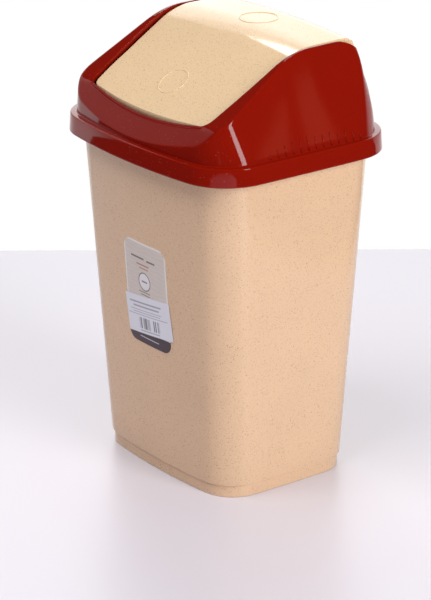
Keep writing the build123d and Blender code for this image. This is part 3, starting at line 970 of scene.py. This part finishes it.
def red_material(colour):
    """Glossy brick-red plastic with fine dust on its front."""
    material, nodes, principled, place = new_material("cover_red")
    cloud = nodes.group("Mottle", Vector=place, Scale=16.0, Strength=0.16)
    dust = nodes.group("Flecks", Vector=place, Scale=1300.0, Level=0.74, Softness=0.04)
    split = nodes.add("ShaderNodeSeparateXYZ", Vector=place)
    front = nodes.between(split.outputs[1], DUST_FROM_Y, DUST_FULL_Y)
    dusty = nodes.times(dust, nodes.plus(nodes.times(front, DUST_FRONT), DUST_ALL))
    smear = nodes.group("Mottle", Vector=place, Scale=60.0, Strength=0.5)
    rough = nodes.plus(nodes.times(smear, SMEAR_ROUGH), nodes.times(dusty, DUST_ROUGH))
    normal = nodes.relief(place, scale=35.0, detail=1.0, strength=0.015, distance=0.002)
    nodes.put(principled, Base_Color=nodes.shaded(nodes.mix(dusty, colour, DUST_COLOUR), cloud),
              Roughness=rough, Normal=normal, IOR=1.5, Specular_IOR_Level=COVER_GLOSS)


def printing_place(nodes, place, turn=0.0):
    """X and Z of the front wall in millimetres, turned about the sticker's middle."""
    moved = nodes.add("ShaderNodeVectorMath", n0=place, n1=(1 / MM, 1 / MM, 1 / MM))
    moved.operation = "MULTIPLY"
    middle = Vector((STICKER_MIDDLE[0], 0.0, STICKER_MIDDLE[1]))
    turned = nodes.add("ShaderNodeVectorRotate", Vector=moved.outputs[0], Center=middle, Angle=radians(turn))
    turned.rotation_type = "Y_AXIS"
    split = nodes.add("ShaderNodeSeparateXYZ", Vector=turned.outputs[0])
    return split.outputs[0], split.outputs[2]


def printed(nodes, x, z, bars):
    """Mask of several bars, each (middle x, middle z, half x, half z)."""
    total = 0.0
    for middle_x, middle_z, half_x, half_z in bars:
        mask = nodes.group("Printed bar", X=x, Z=z, Middle_X=middle_x, Middle_Z=middle_z,
                           Half_X=half_x, Half_Z=half_z)
        total = nodes.maths("MAXIMUM", mask, total)
    return total


def ring_mask(nodes, x, z, middle, radius, width):
    """Mask of a thin printed circle."""
    across = nodes.minus(x, middle[0])
    upward = nodes.minus(z, middle[1])
    square = nodes.plus(nodes.times(across, across), nodes.times(upward, upward))
    away = nodes.maths("ABSOLUTE", nodes.minus(nodes.maths("SQRT", square), radius))
    return nodes.maths("DIVIDE", nodes.minus(width, away), PRINT_SOFTNESS, clamp=True)


def paper_finish(nodes, principled, place, colour):
    """Satin film with a faint tooth."""
    rough = nodes.times(nodes.group("Mottle", Vector=place, Scale=300.0, Strength=0.3), PAPER_ROUGH)
    normal = nodes.relief(place, scale=900.0, detail=2.0, strength=0.05, distance=0.0002)
    nodes.put(principled, Base_Color=colour, Roughness=rough, Normal=normal)


def label_material():
    """Cream label with a dark band at its foot, a pale border, a ring and plain bars."""
    material, nodes, principled, place = new_material("label_print")
    x, z = printing_place(nodes, place)
    cloud = nodes.group("Mottle", Vector=place, Scale=120.0, Strength=0.12)
    cream = nodes.shaded((*CREAM, 1.0), cloud)
    grain = nodes.add("ShaderNodeTexWave", Vector=place, Scale=90.0, Distortion=6.0, Detail=2.0)
    grain.bands_direction = "Z"
    ring = ring_mask(nodes, x, z, LABEL_RING_MIDDLE, LABEL_RING_RADIUS, LABEL_RING_WIDTH)
    dark = nodes.maths("MAXIMUM", ring, printed(nodes, x, z, LABEL_DARK_BARS))
    colour = nodes.mix(nodes.times(grain.outputs["Fac"], GRAIN_SHARE), cream, GRAIN)
    colour = nodes.mix(printed(nodes, x, z, [LABEL_FACE]), BORDER, colour)
    for mask, strength, ink in (
            (nodes.between(z, LABEL_BAND_Z + LABEL_BAND_SOFTNESS, LABEL_BAND_Z), 1.0, BAND_INK),
            (ring_mask(nodes, x, z, LABEL_RING_MIDDLE, 0.0, LABEL_RING_RADIUS), 1.0, RING_PAPER),
            (dark, 0.85, DARK_INK),
            (printed(nodes, x, z, LABEL_RED_BARS), 0.75, RED_INK),
            (printed(nodes, x, z, [LABEL_PALE_BAR]), 0.8, PALE_INK)):
        colour = nodes.mix(nodes.times(mask, strength), colour, ink)
    paper_finish(nodes, principled, place, colour)
    return material


def sticker_material(seed):
    """White sticker with grey rows over a row of upright bars of uneven width."""
    material, nodes, principled, place = new_material("sticker_print")
    x, z = printing_place(nodes, place, STICKER_TURN)

    def field(bars):
        middle_x, middle_z = STICKER_MIDDLE
        return printed(nodes, x, z, [(middle_x + bar[0], middle_z + bar[1], *bar[2:]) for bar in bars])

    slot = nodes.maths("FLOOR", nodes.maths("DIVIDE", x, STICKER_BAR_STEP))
    gaps = nodes.tree.nodes.new("ShaderNodeTexWhiteNoise")
    gaps.noise_dimensions = "1D"
    nodes.put(gaps, W=nodes.plus(slot, seed))
    barred = nodes.maths("GREATER_THAN", gaps.outputs["Value"], STICKER_BAR_SHARE)
    bars = nodes.times(nodes.times(barred, field(STICKER_BAR_FIELD)), STICKER_BAR_INK)
    ink = nodes.maths("MAXIMUM", nodes.times(field(STICKER_ROWS), STICKER_ROW_INK), bars)
    paper_finish(nodes, principled, place, nodes.mix(ink, STICKER_PAPER, STICKER_INK))
    return material


# Stage


def camera_axes(azimuth, elevation, roll):
    """Right, up and back of a camera that looks at the object."""
    a, e, r = radians(azimuth), radians(elevation), radians(roll)
    back = np.array([sin(a) * cos(e), -cos(a) * cos(e), sin(e)])
    right = np.array([cos(a), sin(a), 0.0])
    up = np.cross(back, right)
    return cos(r) * right + sin(r) * up, cos(r) * up - sin(r) * right, back


def add_camera():
    """Camera solved from the photograph."""
    right, up, back = camera_axes(*CAMERA_ANGLES)
    place = back * CAMERA_AWAY + np.array([0, 0, CAMERA_AIM_Z]) - right * CAMERA_ASIDE
    data = bpy.data.cameras.new("camera")
    data.lens, data.sensor_width, data.sensor_fit = CAMERA_LENS, CAMERA_SENSOR, "AUTO"
    data.clip_end = CAMERA_FAR
    camera = linked("camera", data)
    camera.matrix_world = Matrix([[right[i], up[i], back[i], place[i]] for i in range(3)] + [[0, 0, 0, 1]])
    bpy.context.scene.camera = camera


def add_lamp(name, place, size, power, mirrored_too):
    """Soft lamp aimed at the bin."""
    data = bpy.data.lights.new(name, "AREA")
    data.shape, data.size, data.size_y, data.energy = "RECTANGLE", *size, power
    lamp = linked(name, data)
    lamp.location = place
    lamp.visible_glossy = mirrored_too
    aim = Vector(LAMP_AIM) - Vector(place)
    lamp.rotation_euler = aim.to_track_quat("-Z", "Y").to_euler()


def seen_directly(nodes):
    """1 for rays that show the stage to the eye or in a reflection."""
    path = nodes.add("ShaderNodeLightPath").outputs
    mirrored_ray = nodes.maths("MAXIMUM", path["Is Glossy Ray"], path["Is Transmission Ray"])
    return nodes.maths("MAXIMUM", path["Is Camera Ray"], mirrored_ray)


def floor_material():
    """Pale lilac-white table that keeps the bin's shadow; past its edges, mirrors see the dim room."""
    material, nodes, principled, place = new_material("floor")
    nodes.put(principled, Base_Color=FLOOR_COLOUR, Roughness=0.36, IOR=1.5, Specular_IOR_Level=1.0)
    glow = nodes.add("ShaderNodeEmission", Color=FLOOR_SHINE, Strength=0.95)
    table = nodes.add("ShaderNodeMixShader", n0=nodes.times(seen_directly(nodes), FLOOR_GLOW),
                      n1=principled.outputs[0], n2=glow.outputs[0])
    across = nodes.dot(place, camera_axes(*CAMERA_ANGLES)[0])
    past = nodes.maths("MAXIMUM", nodes.maths("GREATER_THAN", across, TABLE_RIGHT),
                       nodes.maths("LESS_THAN", across, TABLE_LEFT))
    mirrored_ray = nodes.add("ShaderNodeLightPath").outputs["Is Glossy Ray"]
    room = nodes.add("ShaderNodeEmission", Color=(*ROOM_COLOUR, 1.0), Strength=1.0)
    both = nodes.add("ShaderNodeMixShader", n0=nodes.times(past, mirrored_ray),
                     n1=table.outputs[0], n2=room.outputs[0])
    nodes.put(material.node_tree.nodes["Material Output"], Surface=both.outputs[0])
    return material


def studio_world():
    """Even light, seen as a white backdrop behind the bin and a dim room to the other sides."""
    world = bpy.data.worlds.new("studio")
    world.use_nodes = True
    nodes = Nodes(world.node_tree)
    light = world.node_tree.nodes["Background"]
    nodes.put(light, Color=WORLD_COLOUR, Strength=WORLD_LIGHT)
    way = nodes.add("ShaderNodeTexCoord").outputs["Generated"]
    height = nodes.add("ShaderNodeSeparateXYZ", Vector=way).outputs[2]
    behind = nodes.between(nodes.dot(way, BACKDROP_WAY), *BACKDROP_SIDES)
    below = nodes.between(height, BACKDROP_TOP + BACKDROP_SOFTNESS, BACKDROP_TOP)
    by_eye = nodes.add("ShaderNodeLightPath").outputs["Is Camera Ray"]
    white = nodes.maths("MAXIMUM", nodes.times(behind, below), by_eye)
    across = nodes.times(nodes.dot(way, WINDOW_WAY), HUNDREDTHS)
    windows = printed(nodes, across, nodes.times(height, HUNDREDTHS), WINDOWS)
    colour = nodes.mix(white, nodes.mix(windows, ROOM_COLOUR, WINDOW_COLOUR), (1.0, 1.0, 1.0))
    shown = nodes.add("ShaderNodeBackground", Color=colour, Strength=1.0)
    both = nodes.add("ShaderNodeMixShader", n0=seen_directly(nodes), n1=light.outputs[0], n2=shown.outputs[0])
    nodes.put(world.node_tree.nodes["World Output"], Surface=both.outputs[0])
    return world


# Operators


class BIN_OT_materials(bpy.types.Operator):
    """Make the materials and give the labels theirs"""
    bl_idname = "bin.materials"
    bl_label = "Materials"

    def execute(self, context):
        settings = context.scene.bin_settings
        fleck_group()
        mottle_group()
        bar_group()
        sand_material("bucket_sand", settings.sand, settings.fleck, *BUCKET_FINISH)
        # Painted light: the flap's sand is a lighter copy of the bucket's, standing in for the light the flap
        # gets
        lighter = tuple(tint * part for tint, part in zip(FLAP_PAINTED_LIGHT_TINT, settings.sand))
        sand_material("flap_sand", lighter, settings.fleck, *FLAP_FINISH)
        red_material(settings.red)
        for name, material in (("product_label", label_material()),
                               ("barcode_sticker", sticker_material(STICKER_SEED))):
            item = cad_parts[name]
            item.data.materials.clear()
            item.data.materials.append(material)
        return {"FINISHED"}


class BIN_OT_bucket(bpy.types.Operator):
    """Build the bucket"""
    bl_idname = "bin.bucket"
    bl_label = "Bucket"

    def execute(self, context):
        bucket = build_bucket(bpy.data.materials["bucket_sand"])
        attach(bucket, "bin")
        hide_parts("bin_body")
        return {"FINISHED"}


class BIN_OT_cover(bpy.types.Operator):
    """Build the cover"""
    bl_idname = "bin.cover"
    bl_label = "Cover"

    def execute(self, context):
        cover = build_cover(bpy.data.materials["cover_red"], context.scene.bin_settings.edge_radius)
        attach(cover, "cover")
        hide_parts("lid_cover")
        return {"FINISHED"}


class BIN_OT_ribs(bpy.types.Operator):
    """Build the ribs on the cover's cheeks"""
    bl_idname = "bin.ribs"
    bl_label = "Cheek ribs"

    def execute(self, context):
        ribs = build_ribs(bpy.data.materials["cover_red"])
        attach(ribs, "cover")
        return {"FINISHED"}


class BIN_OT_flap(bpy.types.Operator):
    """Build the flap"""
    bl_idname = "bin.flap"
    bl_label = "Flap"

    def execute(self, context):
        flap = build_flap(bpy.data.materials["flap_sand"])
        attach(flap, "flap")
        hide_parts("swing_flap")
        return {"FINISHED"}


class BIN_OT_stage(bpy.types.Operator):
    """Set the floor, backdrop, lamps and camera"""
    bl_idname = "bin.stage"
    bl_label = "Stage"

    def execute(self, context):
        scene = context.scene
        scene.view_settings.view_transform = "Standard"
        add_camera()
        right, _, toward = camera_axes(*CAMERA_ANGLES)
        forward = np.array([toward[0], toward[1], 0.0]) / np.hypot(toward[0], toward[1])
        corners = [side * FLOOR_HALF * right + depth * forward for side, depth in (
            (-1, FLOOR_HALF), (1, FLOOR_HALF), (1, -FLOOR_BACK), (-1, -FLOOR_BACK))]
        floor = mesh_object("floor", np.array(corners) * (1, 1, 0) / MM, [(0, 1, 2, 3)], floor_material())
        scene.world = studio_world()
        for lamp in LAMPS:
            add_lamp(*lamp)
        return {"FINISHED"}


class BIN_PT_panel(bpy.types.Panel):
    """Lists the steps that build the bin"""
    bl_idname = "BIN_PT_panel"
    bl_label = "Swing-lid bin"
    bl_space_type = "VIEW_3D"
    bl_region_type = "UI"
    bl_category = "Bin"

    def draw(self, context):
        settings = context.scene.bin_settings
        for name in ("sand", "red", "fleck", "edge_radius"):
            self.layout.prop(settings, name)
        for step in STEPS:
            self.layout.operator(step.bl_idname)


STEPS = (BIN_OT_materials, BIN_OT_bucket, BIN_OT_cover, BIN_OT_ribs, BIN_OT_flap, BIN_OT_stage)
CLASSES = (BinSettings,) + STEPS + (BIN_PT_panel,)


def register():
    for item in CLASSES:
        bpy.utils.register_class(item)
    bpy.types.Scene.bin_settings = bpy.props.PointerProperty(type=BinSettings)


def unregister():
    del bpy.types.Scene.bin_settings
    for item in reversed(CLASSES):
        bpy.utils.unregister_class(item)


def main():
    """Builds everything."""
    register()
    bpy.ops.bin.materials()
    bpy.ops.bin.bucket()
    bpy.ops.bin.cover()
    bpy.ops.bin.ribs()
    bpy.ops.bin.flap()
    bpy.ops.bin.stage()


if __name__ == "__main__":
    main()
